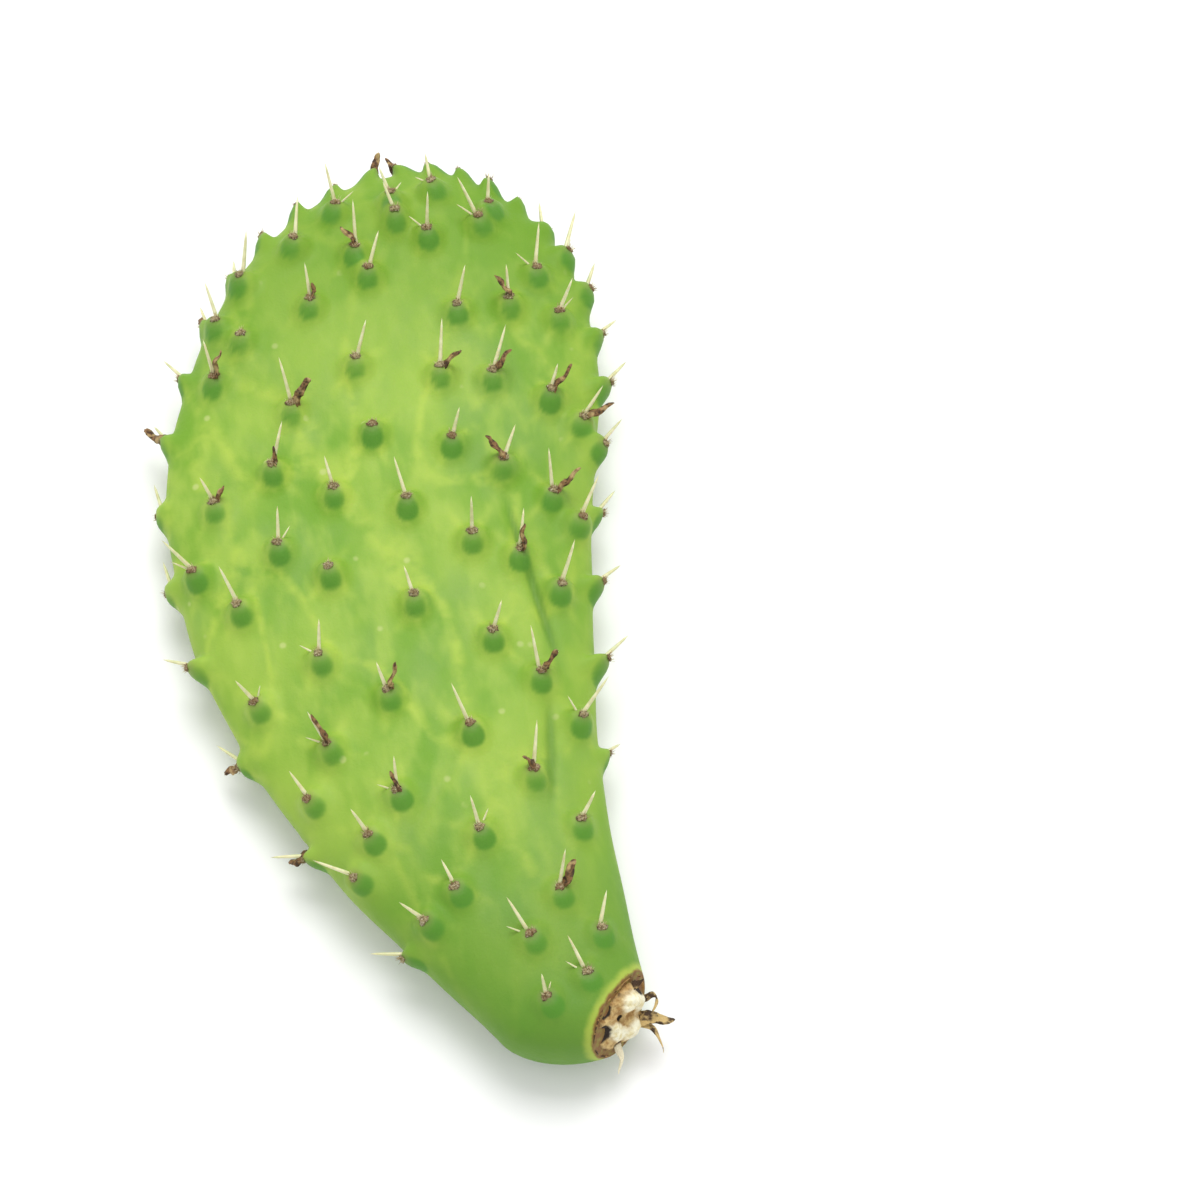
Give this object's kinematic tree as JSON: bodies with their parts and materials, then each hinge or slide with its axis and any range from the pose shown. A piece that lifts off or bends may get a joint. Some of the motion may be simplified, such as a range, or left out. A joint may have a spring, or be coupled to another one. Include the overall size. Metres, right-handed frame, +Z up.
{
  "type": "prickly pear cactus pad",
  "caption": "Flat, spiny green cactus pad lying on one face, widest near its rounded tip, with raised tubercles, pale spines, dried leaves and a torn, fibrous base.",
  "frame": {"origin": "middle of the bounding box on the surface that the pad lies on", "axes": "+Z up, +Y along the pad from its torn base to its tip, +X to the right of someone who looks down on it with the tip away from them"},
  "size_m": [0.1205, 0.2371, 0.0336],
  "materials": {
    "pad_skin": "waxy green living skin, satin, mottled yellow-green between the tubercles",
    "torn_tissue": "dry torn plant fibre, cream pith with brown ragged edges",
    "spine": "smooth ivory spine, slightly glossy",
    "areole_felt": "short reddish brown felt with bristles",
    "dried_leaf": "dry wrinkled brown leaf"
  },
  "bodies": {
    "root": {"pad": "pad_skin", "torn_base": "torn_tissue"}
  },
  "joints": []
}
